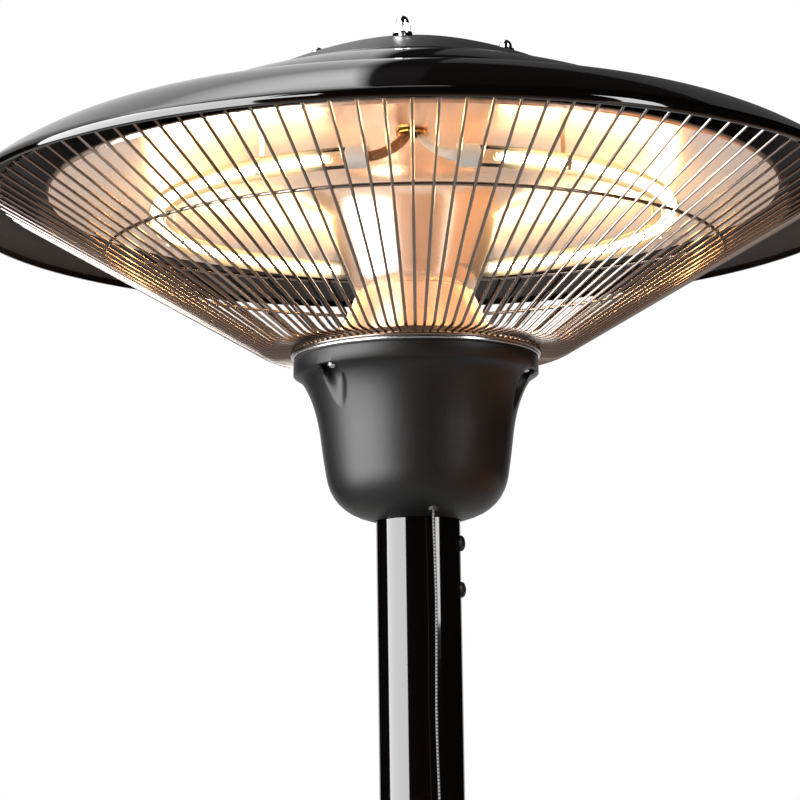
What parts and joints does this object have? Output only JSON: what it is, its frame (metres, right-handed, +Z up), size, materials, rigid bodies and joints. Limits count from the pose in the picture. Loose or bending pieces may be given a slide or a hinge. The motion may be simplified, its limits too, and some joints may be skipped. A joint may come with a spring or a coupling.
{
  "type": "electric patio heater",
  "caption": "Free-standing parasol heater: round hood and reflector over ring lamps behind a wire guard, pull-cord switch housing, pole and weighted base.",
  "frame": {"origin": "on the floor under the pole's axis, at the centre of the base's underside", "axes": "+Z up along the pole, -Y towards the front, +X to the right"},
  "size_m": [0.59, 0.59, 2.0995],
  "materials": {
    "gloss_black": "gloss black enamel on steel sheet and tube",
    "satin_black": "satin black powder coat",
    "sandy_black": "fine sandy satin black powder coat",
    "textured_black": "matt textured black powder coat on cast aluminium",
    "polished_nut": "bright plated steel",
    "zinc_steel": "bright zinc plated steel",
    "spring_steel": "bright stainless spring steel",
    "polished_aluminium": "mirror polished, spun aluminium",
    "chromed_wire": "chromed steel wire",
    "quartz_glass": "clear quartz tube, glowing when lit",
    "hot_filament": "glowing coiled filament",
    "white_ceramic": "white steatite, unglazed",
    "glass_sleeve": "braided glass fibre sleeve",
    "brass": "bright brass",
    "black_rubber": "matt black rubber",
    "black_screw": "black oxide steel",
    "black_plastic": "moulded black plastic",
    "cream_plastic": "moulded cream plastic",
    "blue_plastic": "moulded blue plastic",
    "pvc_wire": "black PVC sheath",
    "braided_cord": "fine grey braid",
    "concrete": "cast concrete"
  },
  "bodies": {
    "frame": {"acorn_nuts": "polished_nut", "top_cap": "sandy_black", "hood": "gloss_black", "hood_studs": "zinc_steel", "hood_spacers": "zinc_steel", "carrier_plate": "zinc_steel", "center_tube": "zinc_steel", "center_tube_nuts": "zinc_steel", "reflector": "polished_aluminium", "lower_cone": "polished_aluminium", "lamp_left": "quartz_glass", "lamp_right": "quartz_glass", "filament_left": "hot_filament", "filament_right": "hot_filament", "lamp_caps": "white_ceramic", "lamp_clips": "spring_steel", "lamp_leads": "glass_sleeve", "lead_grommets": "brass", "guard_wires": "chromed_wire", "guard_outer_ring": "chromed_wire", "guard_middle_ring": "chromed_wire", "guard_bottom_ring": "chromed_wire", "guard_clips": "spring_steel", "cone_seat": "sandy_black", "mounting_plate": "zinc_steel", "housing_gasket": "black_rubber", "bell_housing": "textured_black", "bell_screws": "polished_nut", "neck_tube": "zinc_steel", "neck_screws": "black_screw", "pull_switch_case": "cream_plastic", "pull_switch_cover": "cream_plastic", "switch_pins": "zinc_steel", "return_spring": "spring_steel", "switch_wires": "pvc_wire", "cord_grommet": "black_rubber", "terminal_block": "white_ceramic", "terminal_screws": "brass", "tilt_switch_case": "black_plastic", "tilt_pin": "zinc_steel", "pole_upper": "gloss_black", "pole_middle": "gloss_black", "pole_lower": "gloss_black", "joint_sleeves": "zinc_steel", "joint_screws": "black_screw", "base_socket": "satin_black", "base_bolts": "zinc_steel", "base_nuts": "zinc_steel", "base_cover": "gloss_black", "base_weight": "concrete", "base_mat": "black_rubber", "cable_gland": "black_plastic", "gland_nut": "black_plastic", "supply_lead": "pvc_wire"},
    "pull": {"cord_stirrup": "brass", "pull_cord": "braided_cord", "pull_knob": "black_plastic"},
    "lever": {"switch_lever": "brass"},
    "drum": {"contact_drum": "blue_plastic"},
    "pendulum": {"tilt_pendulum": "brass"}
  },
  "joints": [
    {"name": "pull_slide", "type": "slide", "parent": "frame", "child": "pull", "axis": [0, 0, -1], "range_m": [0, 0.0079], "stiffness_N_per_m": 500, "springref_m": -0.005},
    {"name": "lever_hinge", "type": "hinge", "parent": "frame", "child": "lever", "pos_m": [0.00091, -0.03972, 1.817], "axis": [-0.2487, 0.9686, 0], "range_deg": [0, 52]},
    {"name": "drum_spin", "type": "hinge", "parent": "frame", "child": "drum", "pos_m": [0.015, -0.03228, 1.826], "axis": [0.2487, -0.9686, 0], "continuous": true},
    {"name": "tilt_swing", "type": "hinge", "parent": "frame", "child": "pendulum", "pos_m": [-0.018, 0.03118, 1.856], "axis": [-0.5, 0.866, 0], "range_deg": [-24, 24]}
  ],
  "couplings": [
    {"joint": "lever_hinge", "follows": "pull_slide", "rad_per_m": 114.8}
  ]
}
